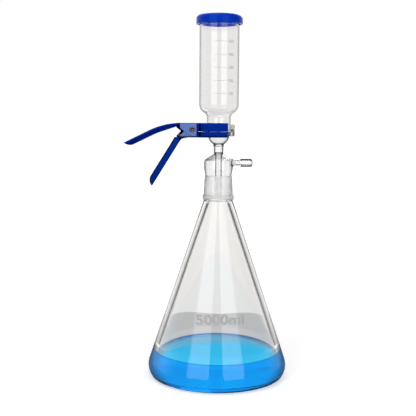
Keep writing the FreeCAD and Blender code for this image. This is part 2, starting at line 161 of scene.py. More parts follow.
def rampNode(tree, place, value, stops, tint=(1, 1, 1)):
    ramp = addNode(tree, "ShaderNodeValToRGB", place)
    marks = ramp.color_ramp.elements
    while len(marks) < len(stops):
        marks.new(1.0)
    for mark, (position, tone) in zip(marks, stops):
        mark.position = position
        mark.color = (tone * tint[0], tone * tint[1], tone * tint[2], 1)
    fill(tree, [(ramp.inputs["Fac"], value)])
    return ramp.outputs["Color"]


def mixShader(tree, place, factor, first, second):
    node = addNode(tree, "ShaderNodeMixShader", place)
    join(tree, *zip((factor, first, second), node.inputs))
    return node.outputs[0]


def principled(tree, values):
    shader = addNode(tree, "ShaderNodeBsdfPrincipled", (250, 0))
    fill(tree, [(shader.inputs[name], value) for name, value in values.items()])
    output = addNode(tree, "ShaderNodeOutputMaterial", (600, 0))
    join(tree, (shader.outputs[0], output.inputs[0]))


# World and floor: a white studio, whose bench top shows a little darker through the glass

studio = {
    "ambient": 0.20,
    "ambientTint": (1.0, 0.995, 0.99, 1),
    "whiteBehind": (-0.1, 0.5),     # gloss sees the white behind the unit, and the dimmer room in front
    "floorSize": 30.0,
    "floorColour": (0.82, 0.82, 0.82, 1),
    "floorGlow": (0.50, 1.0),       # close to the unit, and farther than glowReach
    "glowReach": (0.35, 1.3),
    "baseRadius": 0.108,            # right under the base the floor lights the filtrate from below
    "mirroredFront": 0.20,          # what gloss shows of the floor in front, before the white behind
    "mirroredReach": (-0.1, 0.6),
}
benchLook = {
    "turn": -10.0,
    "halfSize": (0.32, 0.44, 1),
    "nearEnd": 0.28,                # in half depths, behind the unit
    "outside": 2.0,                 # for what lies before the near end
    "spread": 0.494,                # its far edge moves back towards both sides
    "spreadPower": 1.4,
    "edge": (0.995, 1.005),
    "tone": (0.62, 1.0),            # on the bench and off it
    "whiteReach": (0.112, 0.128),   # white again close under the unit, where the filtrate gathers the light
}


def makeWorld(setup):
    world = bpy.data.worlds.new("studioWorld")
    bpy.context.scene.world = world
    world.use_nodes = True
    tree = world.node_tree
    tree.nodes.clear()
    path = addNode(tree, "ShaderNodeLightPath", (-700, 200)).outputs
    seen = mathNode(tree, "MAXIMUM", (-500, 200), path["Is Camera Ray"], path["Is Transmission Ray"])
    toward = addNode(tree, "ShaderNodeTexCoord", (-1000, -100)).outputs["Generated"]
    behind = axesNode(tree, (-850, -100), toward)["Y"]
    behind = rangeNode(tree, (-700, -100), behind, setup["whiteBehind"])
    mirrored = mathNode(tree, "MULTIPLY", (-500, 50), path["Is Glossy Ray"], behind)
    seen = mathNode(tree, "MAXIMUM", (-350, 200), seen, mirrored)
    background = addNode(tree, "ShaderNodeBackground", (0, 100))
    strength = rangeNode(tree, (-200, 200), seen, (0.0, 1.0), (setup["ambient"], 1.0))
    tint = mixNode(tree, (-200, -50), seen, setup["ambientTint"], white)
    output = addNode(tree, "ShaderNodeOutputWorld", (200, 100))
    join(tree, (strength, background.inputs["Strength"]), (tint, background.inputs["Color"]),
         (background.outputs[0], output.inputs[0]))


def benchTone(tree, look, place, away):
    turned = addNode(tree, "ShaderNodeMapping", (-750, -200), vector_type="TEXTURE")
    turned.inputs["Rotation"].default_value = (0, 0, math.radians(look["turn"]))
    turned.inputs["Scale"].default_value = look["halfSize"]
    join(tree, (place, turned.inputs["Vector"]))
    size = vectorNode(tree, "ABSOLUTE", (-600, -200), turned.outputs[0])
    size = axesNode(tree, (-500, -200), size)
    spread = mathNode(tree, "POWER", (-480, -350), size["X"], look["spreadPower"])
    spread = mathNode(tree, "MULTIPLY", (-440, -350), spread, look["spread"])
    nearer = mathNode(tree, "SUBTRACT", (-420, -300), size["Y"], spread)
    farther = mathNode(tree, "MAXIMUM", (-400, -200), size["X"], nearer)
    signed = axesNode(tree, (-600, -50), turned.outputs[0])
    before = mathNode(tree, "LESS_THAN", (-450, -50), signed["Y"], look["nearEnd"])
    before = mathNode(tree, "MULTIPLY", (-350, -50), before, look["outside"])
    farther = mathNode(tree, "MAXIMUM", (-300, -150), farther, before)
    tone = rangeNode(tree, (-250, -200), farther, look["edge"], look["tone"])
    close = rangeNode(tree, (-600, -450), away, look["whiteReach"], (1.0, 0.0), interpolation_type="SMOOTHSTEP")
    return mathNode(tree, "MAXIMUM", (-100, -300), tone, close)


def makeFloor(setup, bench):
    bpy.ops.object.select_all(action="DESELECT")
    bpy.ops.mesh.primitive_plane_add(size=setup["floorSize"])
    floor = bpy.context.object
    floor.name = "studioFloor"
    material, tree = blankMaterial("studioFloorWhite")
    place = addNode(tree, "ShaderNodeTexCoord", (-900, -200)).outputs["Object"]
    path = addNode(tree, "ShaderNodeLightPath", (-900, 300)).outputs
    away = vectorNode(tree, "LENGTH", (-750, -450), place)
    # what shows through glass, and what gloss mirrors
    through = benchTone(tree, bench, place, away)
    front = axesNode(tree, (-750, -650), place)["Y"]
    front = rangeNode(tree, (-600, -650), front, setup["mirroredReach"], (setup["mirroredFront"], 1.0))
    shown = mathNode(tree, "MULTIPLY", (-300, -650), through, front)
    under = mathNode(tree, "LESS_THAN", (-450, -750), away, setup["baseRadius"])
    shown = mathNode(tree, "MAXIMUM", (-200, -650), shown, under)
    mirrored = mathNode(tree, "SUBTRACT", (-700, 350), path["Is Glossy Ray"], path["Is Transmission Ray"])
    mirrored = mathNode(tree, "MAXIMUM", (-600, 350), mirrored, 0.0)
    tone = mixNode(tree, (-100, -500), mirrored, through, shown, "FLOAT")
    glass = addNode(tree, "ShaderNodeEmission", (100, -150))
    # what the camera sees, and what lights the unit
    plain = addNode(tree, "ShaderNodeBsdfDiffuse", (-100, -50))
    plain.inputs["Color"].default_value = setup["floorColour"]
    far = rangeNode(tree, (-600, 500), away, setup["glowReach"], setup["floorGlow"])
    glow = addNode(tree, "ShaderNodeEmission", (-100, 100))
    lit = addNode(tree, "ShaderNodeAddShader", (100, 50))
    join(tree, (tone, glass.inputs["Strength"]), (far, glow.inputs["Strength"]),
         (glow.outputs[0], lit.inputs[0]), (plain.outputs[0], lit.inputs[1]))
    direct = mixShader(tree, (300, 100), path["Is Camera Ray"], plain.outputs[0], lit.outputs[0])
    byGlass = mathNode(tree, "MAXIMUM", (-300, 300), path["Is Transmission Ray"], path["Is Glossy Ray"])
    mixed = mixShader(tree, (500, 0), byGlass, direct, glass.outputs[0])
    output = addNode(tree, "ShaderNodeOutputMaterial", (700, 0))
    join(tree, (mixed, output.inputs[0]))
    floor.data.materials.append(material)


makeWorld(studio)
makeFloor(studio, benchLook)
print("world and floor ready")


# Lamps: two tall window lights in front, a soft one overhead and another behind

lampSetup = [
    {"name": "windowLeft", "azimuth": -42.0, "elevation": 22.0, "distance": 2.2, "size": (1.50, 2.0), "power": 14.5},
    {"name": "windowRight", "azimuth": 18.5, "elevation": 22.0, "distance": 2.2, "size": (1.42, 2.0), "power": 13.7},
    {"name": "overheadSoft", "azimuth": -40.0, "elevation": 70.0, "distance": 2.0, "size": (1.4, 1.4), "power": 14.0},
    {"name": "backSoft", "azimuth": 150.0, "elevation": 30.0, "distance": 2.4, "size": (1.2, 1.2), "power": 10.0},
]
lampAim = Vector((0, 0, 0.28))


def placeLamps(setups):
    for setup in setups:
        bpy.ops.object.light_add(type="AREA")
        lamp = bpy.context.object
        lamp.name = setup["name"]
        lamp.data.shape = "RECTANGLE"
        lamp.data.size, lamp.data.size_y = setup["size"]
        lamp.data.energy = setup["power"]
        turn = math.radians(setup["azimuth"])
        rise = math.radians(setup["elevation"])
        away = Vector((math.sin(turn) * math.cos(rise), -math.cos(turn) * math.cos(rise), math.sin(rise)))
        lamp.location = lampAim + away * setup["distance"]
        lamp.rotation_euler = away.to_track_quat("Z", "Y").to_euler()


placeLamps(lampSetup)
print("lamps placed")


# Grain that every finish on the unit uses, fine for relief and broad for tone and roughness

grainLook = {"fineDetail": 6.0, "broadScale": 22.0, "broadDetail": 4.0, "broadEnds": (0.3, 0.7)}


def makeFineGrain(look):
    group = bpy.data.node_groups.new("fineGrain", "ShaderNodeTree")
    face = group.interface
    face.new_socket("Place", in_out="INPUT", socket_type="NodeSocketVector")
    for name, value in (("Scale", 400.0), ("Softness", 0.3), ("Least", 0.2), ("Most", 0.3)):
        face.new_socket(name, in_out="INPUT", socket_type="NodeSocketFloat").default_value = value
    for name in ("Height", "Roughness", "Patches"):
        face.new_socket(name, in_out="OUTPUT", socket_type="NodeSocketFloat")
    given = addNode(group, "NodeGroupInput", (-800, 0)).outputs
    fine = addNode(group, "ShaderNodeTexNoise", (-500, 200))
    fine.inputs["Detail"].default_value = look["fineDetail"]
    broad = addNode(group, "ShaderNodeTexNoise", (-500, -100))
    broad.inputs["Scale"].default_value = look["broadScale"]
    broad.inputs["Detail"].default_value = look["broadDetail"]
    join(group, (given["Place"], fine.inputs["Vector"]), (given["Scale"], fine.inputs["Scale"]),
         (given["Softness"], fine.inputs["Roughness"]), (given["Place"], broad.inputs["Vector"]))
    rough = rangeNode(group, (-200, -100), broad.outputs["Fac"], look["broadEnds"], (given["Least"], given["Most"]))
    end = addNode(group, "NodeGroupOutput", (100, 0))
    join(group, (fine.outputs["Fac"], end.inputs["Height"]), (rough, end.inputs["Roughness"]),
         (broad.outputs["Fac"], end.inputs["Patches"]))
    return group


fineGrain = makeFineGrain(grainLook)


def placeGrain(tree, place, settings):
    coords = addNode(tree, "ShaderNodeTexCoord", (place[0] - 250, place[1])).outputs
    grain = addNode(tree, "ShaderNodeGroup", place, node_tree=fineGrain)
    fill(tree, zip([grain.inputs[name] for name in ("Scale", "Softness", "Least", "Most")], settings))
    join(tree, (coords["Object"], grain.inputs["Place"]))
    return coords, grain.outputs


def placeBump(tree, height, strength, distance):
    bump = addNode(tree, "ShaderNodeBump", (0, -300))
    bump.inputs["Strength"].default_value = strength
    bump.inputs["Distance"].default_value = distance
    join(tree, (height, bump.inputs["Height"]))
    return bump.outputs["Normal"]


def startFinish(look):
    # two tones that the grain mixes, its roughness, and its relief where there is a bump
    material, tree = blankMaterial(look["name"])
    coords, grain = placeGrain(tree, (-700, -100), look["grain"])
    tone = mixNode(tree, (-300, 200), grain[look["mixedBy"]], *look["tones"])
    values = {"Base Color": tone, "Roughness": grain["Roughness"], **look["plain"]}
    if "bump" in look:
        values["Normal"] = placeBump(tree, grain["Height"], *look["bump"])
    return material, tree, coords, values


def makeFinish(look):
    material, tree, coords, values = startFinish(look)
    principled(tree, values)
    return material


# Glass: each wall has a fine painted dark outer line, and a darker painted line where its inner face starts to
# mirror: painted shade for what the glass refracts and mirrors

glassLook = {
    "grain": (60.0, 0.5, 0.0, 0.03),
    "wave": (0.05, 0.0004),
    "ior": 1.474,
    "mirrorsFrom": 0.266,       # facing value past which the inner face mirrors everything
    "coat": {"Coat Tint": black, "Coat IOR": 1.01},     # draws the painted dark lines, and mirrors next to nothing
}
flaskLook = {
    "name": "flaskGlass",
    "tint": (1.0, 0.985, 0.972),
    "linesBetween": (0.056, 0.2885),    # below, the filtrate wets the glass
    "tone": ((0.055, 1.0), (0.0565, 0.915), (0.16, 0.925), (0.30, 0.955)),      # by height
    "paintedRimShade": (0.02, 0.02, 0.02, 1),
    "cone": (-330.0, 112.0),            # its radius in mm, for a metre of height and at the bench
    "wallSpan": 5.77,                   # facing past mirrorsFrom, times the radius in mm, at the wall's outer edge
    "depthScale": 0.05,                 # (1 - facing)^2 times the radius is twice the depth, here turned to cm
    "outerLine": ((0.0, 1.0), (0.10, 1.0), (0.17, 0.0)),        # by depth behind the edge, in cm
    "innerLine": ((0.0, 0.97), (0.16, 0.90), (0.24, 0.55),      # by share of the wall
                  (0.40, 0.36), (0.55, 0.20), (0.70, 0.0)),
    "edgeZone": ("Z", "LESS_THAN", 0.056),      # over the filtrate the sides get painted shade
    "edgeShade": ((0.36, 0.0), (0.66, 0.48), (1.0, 0.72)),
    "edgeTilt": -0.45,                  # and the heel stays clear
}
headLook = {
    "name": "headGlass",
    "tint": (1.0, 0.995, 0.995),
    "linesBetween": (0.0, 1.0),
    "tone": ((0.0, 0.955), (0.5, 0.955)),
    "paintedRimShade": (0.03, 0.03, 0.03, 1),
    "rim": ((0.05, 0.0), (0.22, 1.0)),
    "innerLine": ((0.266, 0.0), (0.270, 0.97), (0.45, 0.80), (0.65, 0.3), (0.90, 0.1)),
    "edgeZone": ("X", "GREATER_THAN", 0.0365),      # the barbed nozzle gets thick dark outlines of painted shade
    "edgeShade": ((0.22, 0.0), (0.30, 0.92), (1.0, 0.98)),
    "edgeTilt": -2.0,                   # all round it
}
cupLook = {
    "name": "cupGlass",
    "tint": (1.0, 0.985, 0.985),
    "linesBetween": (0.0, 0.5772),      # above, the lid's skirt shows through
    "tone": ((0.0, 0.905), (0.6, 0.905)),
    "paintedRimShade": (0.12, 0.12, 0.12, 1),
    "rim": ((0.10, 0.0), (0.45, 1.0)),
    "innerLine": ((0.266, 0.0), (0.270, 0.55), (0.50, 0.45), (0.90, 0.3)),
}
groundLook = {
    "slope": -0.05,                     # the ground cone of flask and head, narrower with height
    "radiusAtZero": 0.0225 + 0.05 * 0.2945,
    "reach": 0.0004,
    "heights": (0.2950, 0.3345),
    "colour": white,
    "roughness": 0.36,
    "glow": (0.045, 0.046, 0.048, 1),   # a painted glow: it gives off some light of its own, for the light the frosted ground scatters
}


def rimLines(tree, look, height, facing):
    # how strong the painted outer and inner dark lines are, by angle alone
    graze = addNode(tree, "ShaderNodeFresnel", (-1000, 300))
    graze.inputs["IOR"].default_value = glassLook["ior"]
    outer = rampNode(tree, (-800, 300), graze.outputs[0], look["rim"])
    return outer, rampNode(tree, (-800, 900), facing, look["innerLine"])


def coneLines(tree, look, height, facing):
    # the same on the flask, where both lines keep their width in mm as its radius changes
    radius = mathNode(tree, "MULTIPLY_ADD", (-1150, 1000), height, *look["cone"])
    past = mathNode(tree, "SUBTRACT", (-1100, 900), facing, glassLook["mirrorsFrom"])
    share = mathNode(tree, "MULTIPLY", (-1050, 900), past, radius)
    share = mathNode(tree, "DIVIDE", (-1000, 900), share, look["wallSpan"])
    inner = rampNode(tree, (-800, 900), share, look["innerLine"])
    isPast = mathNode(tree, "GREATER_THAN", (-950, 800), past, 0.0)
    inner = mathNode(tree, "MULTIPLY", (-600, 850), inner, isPast)
    turned = mathNode(tree, "SUBTRACT", (-1100, 1100), 1.0, facing)
    turned = mathNode(tree, "MULTIPLY", (-1050, 1100), turned, turned)
    depth = mathNode(tree, "MULTIPLY", (-1000, 1100), turned, radius)
    depth = mathNode(tree, "MULTIPLY", (-950, 1100), depth, look["depthScale"])
    return rampNode(tree, (-900, 1100), depth, look["outerLine"]), inner


def edgeShade(tree, look, coords, places, facing, front):
    # painted shade on the sides, which only the camera sees
    axis, test, limit = look["edgeZone"]
    shade = rampNode(tree, (-800, 1150), facing, look["edgeShade"])
    there = mathNode(tree, test, (-600, 1150), places[axis], limit)
    shade = mathNode(tree, "MULTIPLY", (-450, 1150), shade, there)
    shade = mathNode(tree, "MULTIPLY", (-350, 1150), shade, front)
    path = addNode(tree, "ShaderNodeLightPath", (-600, 1350)).outputs
    shade = mathNode(tree, "MULTIPLY", (-250, 1150), shade, path["Is Camera Ray"])
    tilt = axesNode(tree, (-600, 1500), coords["Normal"])["Z"]
    upright = mathNode(tree, "GREATER_THAN", (-450, 1500), tilt, look["edgeTilt"])
    return mathNode(tree, "MULTIPLY", (-200, 1150), shade, upright)


def placeGround(tree, look, coords, places, values):
    # where the surface lies on the ground cone, between its two ends
    across = lengthAlong(tree, (-1050, -650), coords["Object"], aroundZ)
    cone = mathNode(tree, "MULTIPLY_ADD", (-700, -500), places["Z"], look["slope"], look["radiusAtZero"])
    off = mathNode(tree, "SUBTRACT", (-550, -600), across, cone)
    off = mathNode(tree, "ABSOLUTE", (-400, -600), off)
    near = mathNode(tree, "LESS_THAN", (-250, -600), off, look["reach"])
    above = mathNode(tree, "GREATER_THAN", (-250, -450), places["Z"], look["heights"][0])
    below = mathNode(tree, "LESS_THAN", (-250, -300), places["Z"], look["heights"][1])
    mask = mathNode(tree, "MULTIPLY", (-100, -450), near, above)
    mask = mathNode(tree, "MULTIPLY", (0, -450), mask, below)
    clear = mathNode(tree, "SUBTRACT", (0, 600), 1.0, mask)
    values["Base Color"] = mixNode(tree, (-200, 300), mask, values["Base Color"], look["colour"])
    values["Roughness"] = mixNode(tree, (-100, 100), mask, values["Roughness"], look["roughness"], "FLOAT")
    values["Coat Weight"] = mathNode(tree, "MULTIPLY", (100, 700), values["Coat Weight"], clear)
    # the ground gets a painted glow
    values["Emission Color"] = mixNode(tree, (0, -600), mask, black, look["glow"])
    values["Emission Strength"] = 1.0


def makeGlass(look, ground=None):
    material, tree = blankMaterial(look["name"])
    coords, grain = placeGrain(tree, (-900, -200), glassLook["grain"])
    places = axesNode(tree, (-900, 100), coords["Object"])
    height = places["Z"]
    inside = addNode(tree, "ShaderNodeNewGeometry", (-1000, 700)).outputs["Backfacing"]
    front = mathNode(tree, "SUBTRACT", (-800, 600), 1.0, inside)
    facing = addNode(tree, "ShaderNodeLayerWeight", (-1000, 900)).outputs["Facing"]
    dry = mathNode(tree, "GREATER_THAN", (-500, 600), height, look["linesBetween"][0])
    under = mathNode(tree, "LESS_THAN", (-500, 750), height, look["linesBetween"][1])
    dry = mathNode(tree, "MULTIPLY", (-400, 650), dry, under)
    makeLines = coneLines if "cone" in look else rimLines
    outer, inner = makeLines(tree, look, height, facing)
    outer = mathNode(tree, "MULTIPLY", (-500, 450), outer, front)
    outer = mathNode(tree, "MULTIPLY", (-400, 450), outer, dry)
    dark = mathNode(tree, "MULTIPLY", (-500, 800), inner, inside)
    dark = mathNode(tree, "MULTIPLY", (-400, 800), dark, dry)
    if "edgeZone" in look:
        shade = edgeShade(tree, look, coords, places, facing, front)
        dark = mathNode(tree, "MAXIMUM", (-300, 900), dark, shade)
    tone = rampNode(tree, (-700, 100), height, look["tone"], look["tint"])
    values = {
        "Base Color": mixNode(tree, (-350, 300), outer, tone, look["paintedRimShade"]),
        "Roughness": grain["Roughness"],
        "Normal": placeBump(tree, grain["Patches"], *glassLook["wave"]),
        "IOR": glassLook["ior"],
        "Transmission Weight": 1.0,
        "Coat Weight": dark,
        **glassLook["coat"],
    }
    if ground:
        placeGround(tree, ground, coords, places, values)
    principled(tree, values)
    return material


def dress(node, material):
    obj = nodes[node]
    obj.data.materials.clear()
    obj.data.materials.append(material)


dress("receiving_flask", makeGlass(flaskLook, groundLook))
dress("filter_head", makeGlass(headLook, groundLook))
dress("funnel_cup", makeGlass(cupLook))


# Filtrate: it wets the glass all over, with a small meniscus up the wall

liquidLook = {
    "grain": (30.0, 0.5, 0.0, 0.02),
    "mixedBy": "Patches",
    "plain": {
        "IOR": 1.333,
        "Transmission Weight": 1.0,
        "Coat Weight": 1.0,
        "Coat Tint": (0.0, 0.955, 1.0, 1),      # tints what the surface mirrors as well
        "Coat IOR": 1.01,
    },
}
bodyLook = {"name": "filtrateBody", "tones": ((0.0, 0.40, 1.0, 1), (0.0, 0.36, 0.98, 1)), **liquidLook}
# the level top is a lighter cyan than the body: painted light on the same filtrate
litSurfaceLook = {"name": "filtrateSurfacePaintedLight", "tones": ((0.0, 0.92, 0.94, 1), (0.0, 0.86, 0.92, 1)), **liquidLook}
paintedFarWall = {
    # painted shade: a darker crescent for the far wall seen through the surface, outside an ellipse drawn towards the
    # front
    "move": (0.0, 0.027, 0.0),
    "size": (10.9, 14.9, 0.0),
    "stops": ((0.955, 0.0), (0.975, 0.25), (1.0, 1.0)),
    "tone": (0.0, 0.36, 0.42, 1),
    "film": 0.45,
}
filtrateShape = {
    "overlap": 0.0003,
    "levelFrom": 0.99,          # upward normal past which a face is the level top
    "baseOverlap": 0.0066,
    "baseBlend": 0.030,
    "outside": 0.05,            # points farther out than this follow the wall
    "topReach": 0.0002,
    "meniscusHeight": 0.0014,
    "meniscusSteps": (0.0010, 0.0018),
    "meniscusSlack": 0.0001,
    "meniscusLift": (0.05, 0.00035),    # of the ring that has climbed less than this share, so that it curves
    "smoothAngle": 55,
    "surfaceFrom": (0.6, 0.0001),   # the faces that count as surface, by slope and by height over the level
}


def makeLiquid(look, wall=None):
    material, tree, coords, values = startFinish(look)
    # the painted far-wall shade darkens the surface and thins its film
    if wall:
        moved = vectorNode(tree, "ADD", (-700, 500), coords["Object"], wall["move"])
        reach = lengthAlong(tree, (-550, 500), moved, wall["size"])
        half = mathNode(tree, "MULTIPLY", (-300, 500), reach, 0.5)      # a ramp ends at 1
        far = rampNode(tree, (-200, 500), half, [(place / 2, value) for place, value in wall["stops"]])
        values["Base Color"] = mixNode(tree, (0, 300), far, values["Base Color"], wall["tone"])
        values["Coat Weight"] = mathNode(tree, "MULTIPLY_ADD", (0, 500), far, wall["film"] - 1.0, 1.0)
    principled(tree, values)
    return material


def selectOnly(obj):
    bpy.ops.object.select_all(action="DESELECT")
    obj.select_set(True)
    bpy.context.view_layer.objects.active = obj


def pickFaces(obj, test):
    bpy.ops.mesh.select_all(action="DESELECT")
    bpy.ops.object.mode_set(mode="OBJECT")
    for face in obj.data.polygons:
        face.select = test(face)
    bpy.ops.object.mode_set(mode="EDIT")


def mergeDoubles():
    bpy.ops.mesh.select_all(action="SELECT")
    bpy.ops.mesh.remove_doubles(threshold=0.000001)


def copyOfNode(node, name):
    source = nodes[node]
    piece = source.copy()
    piece.data = source.data.copy()
    piece.name = name
    piece.parent = None
    bpy.context.scene.collection.objects.link(piece)
    selectOnly(piece)
    bpy.ops.object.mode_set(mode="EDIT")
    bpy.ops.mesh.select_mode(type="FACE")
    mergeDoubles()
    return piece


def fillBase(piece, shape, bottom):
    # low down it also fills most of the thick base
    for vertex in piece.data.vertices:
        share = 1.0 - min(1.0, max(0.0, (vertex.co.z - bottom) / shape["baseBlend"]))
        share = share * share * (3 - 2 * share)
        vertex.co.z -= shape["baseOverlap"] * share
        flat = vertex.co.xy.length
        if flat > shape["outside"]:
            vertex.co.xy *= 1 + shape["baseOverlap"] * share / flat


def raiseMeniscus(piece, shape, level):
    # the rim of the surface climbs the glass
    top = level + shape["overlap"] - shape["topReach"]
    step = shape["meniscusSteps"][0]
    ringEnd, lift = shape["meniscusLift"]
    reach = max(vertex.co.xy.length for vertex in piece.data.vertices if vertex.co.z > top)
    for vertex in piece.data.vertices:
        if vertex.co.z > top:
            climb = (vertex.co.xy.length - reach + step + shape["meniscusSlack"]) / step
            vertex.co.z += shape["meniscusHeight"] * max(0.0, min(1.0, climb)) ** 2
            vertex.co.z += lift if 0 < climb < ringEnd else 0.0


def makeFiltrate(shape):
    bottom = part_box("filtrate")[0][2]
    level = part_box("filtrate")[1][2]
    piece = copyOfNode("filtrate", "wettedFiltrate")
    bpy.ops.transform.shrink_fatten(value=shape["overlap"])
    pickFaces(piece, lambda face: face.normal.z > shape["levelFrom"])
    bpy.ops.mesh.dissolve_faces()
    for step in shape["meniscusSteps"]:
        bpy.ops.mesh.inset(thickness=step)
    bpy.ops.object.mode_set(mode="OBJECT")
    fillBase(piece, shape, bottom)
    raiseMeniscus(piece, shape, level)
    bpy.ops.mesh.customdata_custom_splitnormals_clear()
    bpy.ops.object.shade_smooth_by_angle(angle=math.radians(shape["smoothAngle"]))
    piece.data.materials.clear()
    piece.data.materials.append(makeLiquid(bodyLook))
    piece.data.materials.append(makeLiquid(litSurfaceLook, paintedFarWall))
    slope, over = shape["surfaceFrom"]
    for face in piece.data.polygons:
        isSurface = face.normal.z > slope or face.center.z > level + over
        face.material_index = 1 if isSurface else 0
    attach(piece, "unit")
    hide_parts("filtrate")


makeFiltrate(filtrateShape)
print("filtrate ready")


# Printed marks: graduations and numbers on the cup, and the capacity on the flask

cupMarks = {
    "heights": {"500": 0.5488, "400": 0.5282, "300": 0.5079, "200": 0.4869, "100": 0.4666},
    "line": {"azimuth": -5.8, "size": (0.0208, 0.00045, 1)},
    "number": {"azimuth": 25.6, "capHeight": 0.0047},
}
flaskMark = {
    "text": "5000ml",
    "azimuth": -6.7,
    "height": 0.1115,
    "capHeight": 0.0165,
    "length": 0.076,
    "weight": 0.018,
    "dip": 12.0,            # degrees down, square to the cone
}
printing = {"from": 0.14, "travel": 0.06, "thickness": 0.00004}     # it starts this far from the unit's axis
inkLook = {"grain": (900.0, 0.6, 0.70, 0.85), "mixedBy": "Height", "plain": {"Specular IOR Level": 0.1}}
cupInk = {"name": "cupInk", "tones": ((0.42, 0.42, 0.43, 1), (0.4704, 0.4704, 0.4816, 1)), **inkLook}
flaskInk = {"name": "flaskInk", "tones": ((0.46, 0.46, 0.465, 1), (0.5152, 0.5152, 0.5208, 1)), **inkLook}


def pressOut(piece, node, azimuth, dip):
    # each point moves back along the mark's azimuth, and down by the dip, until it meets the glass
    turn = math.radians(azimuth)
    back = Vector((-math.sin(turn), math.cos(turn), -math.tan(math.radians(dip))))
    for vertex in piece.data.vertices:
        hit, place, normal = nodes[node].ray_cast(vertex.co, back.normalized())[:3]
        if hit:
            vertex.co = place + normal * printing["thickness"]


def finishMark(piece, name, node, azimuth, height, material, dip=0.0):
    turn = math.radians(azimuth)
    away = Vector((math.sin(turn), -math.cos(turn), 0))
    rise = printing["travel"] * math.tan(math.radians(dip))
    piece.name = name
    piece.location = away * printing["from"] + Vector((0, 0, height + rise))
    piece.rotation_euler = (math.radians(90), 0, turn)
    selectOnly(piece)
    bpy.ops.object.transform_apply(location=True, rotation=True, scale=True)
    pressOut(piece, node, azimuth, dip)
    piece.data.materials.clear()
    piece.data.materials.append(material)
    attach(piece, "unit")


def makeLettering(text, capHeight, length=None, weight=0.0):
    bpy.ops.object.select_all(action="DESELECT")
    bpy.ops.object.text_add()
    piece = bpy.context.object
    piece.data.body = text
    piece.data.align_x = "CENTER"
    piece.data.align_y = "CENTER"
    piece.data.resolution_u = 4
    piece.data.offset = weight
    bpy.ops.object.convert(target="MESH")
    piece = bpy.context.object
    across = piece.dimensions.x
    tall = piece.dimensions.y
    piece.scale = ((length / across) if length else capHeight / tall, capHeight / tall, 1)
    bpy.ops.object.transform_apply(location=False, rotation=False, scale=True)
    bpy.ops.object.mode_set(mode="EDIT")
    mergeDoubles()
    bpy.ops.mesh.subdivide(number_cuts=2)
    bpy.ops.object.mode_set(mode="OBJECT")
    return piece


def makeGraduations(marks, material):
    for label, height in marks["heights"].items():
        bpy.ops.object.select_all(action="DESELECT")
        bpy.ops.mesh.primitive_grid_add(x_subdivisions=24, y_subdivisions=1, size=1)
        line = bpy.context.object
        line.scale = marks["line"]["size"]
        finishMark(line, "line" + label, "funnel_cup", marks["line"]["azimuth"], height, material)
        number = makeLettering(label, marks["number"]["capHeight"])
        finishMark(number, "number" + label, "funnel_cup", marks["number"]["azimuth"], height, material)


def makeCapacity(mark, material):
    piece = makeLettering(mark["text"], mark["capHeight"], mark["length"], mark["weight"])
    finishMark(piece, "capacityMark", "receiving_flask", mark["azimuth"], mark["height"], material, mark["dip"])


makeGraduations(cupMarks, makeFinish(cupInk))
makeCapacity(flaskMark, makeFinish(flaskInk))
print("marks printed")


# Clamp: two anodised levers, with a glossy coat and a lighter painted sheen on the outside of each ear, painted shade
# inside and on rims and webs, and a stepped pin with a painted dark ring

clampLook = {
    "grain": (900.0, 0.6, 0.30, 0.42),
    "bump": (0.25, 0.00006),
    "outside": ((0.0010, 0.020, 0.235, 1), (0.0014, 0.026, 0.285, 1)),
    # the inner faces and the rims and webs get painted shade
    "inside": (0.0002, 0.0016, 0.022, 1),
    "edges": (0.0006, 0.013, 0.16, 1),
    # a lighter painted sheen on the outside of each ear
    "ears": (0.004, 0.085, 0.46, 1),
    "flangeFrom": 0.6,          # sideways normal past which a face is a flange, not a rim or web
    "handleInside": 0.0086,     # half width between a handle's flanges, and a little more
    "earsBetween": (-0.0665, -0.0402),
    "plain": {
        "Metallic": 1.0,
        "Specular Tint": (0.05, 0.2, 0.9, 1),
        "Coat IOR": 1.8,
        "Coat Roughness": 0.15,
    },
}
# handle tones multiply the outside tone: painted shade on the upper lever's handle, painted light on the lower
# lever's
upperLook = {"name": "blueUpperLever", "earInside": 0.0214, "handle": (0.55, 0.62, 0.74, 1)}
lowerLook = {"name": "blueLowerLever", "earInside": 0.0191, "handle": (1.1, 1.5, 1.3, 1)}
steelLook = {
    "name": "springSteel",
    "grain": (700.0, 0.6, 0.18, 0.34),
    "mixedBy": "Patches",
    "tones": ((0.50, 0.49, 0.47, 1), (0.62, 0.61, 0.59, 1)),
    "bump": (0.2, 0.00004),
    "plain": {"Metallic": 1.0},
}
pinLook = {
    "name": "pinSteel",
    "grain": (700.0, 0.6, 0.22, 0.34),
    "axis": (-0.0468, 0.0, 0.40965),
    # painted brightness and relief, by radius in cm: a near-black ring of painted shade round the bright end, and a
    # dim ring outside it
    "paintedShadeRings": ((0.0, 0.55), (0.11, 0.50), (0.14, 0.02), (0.26, 0.015), (0.30, 0.16), (0.47, 0.10)),
    "bump": (0.4, 0.0003),
}


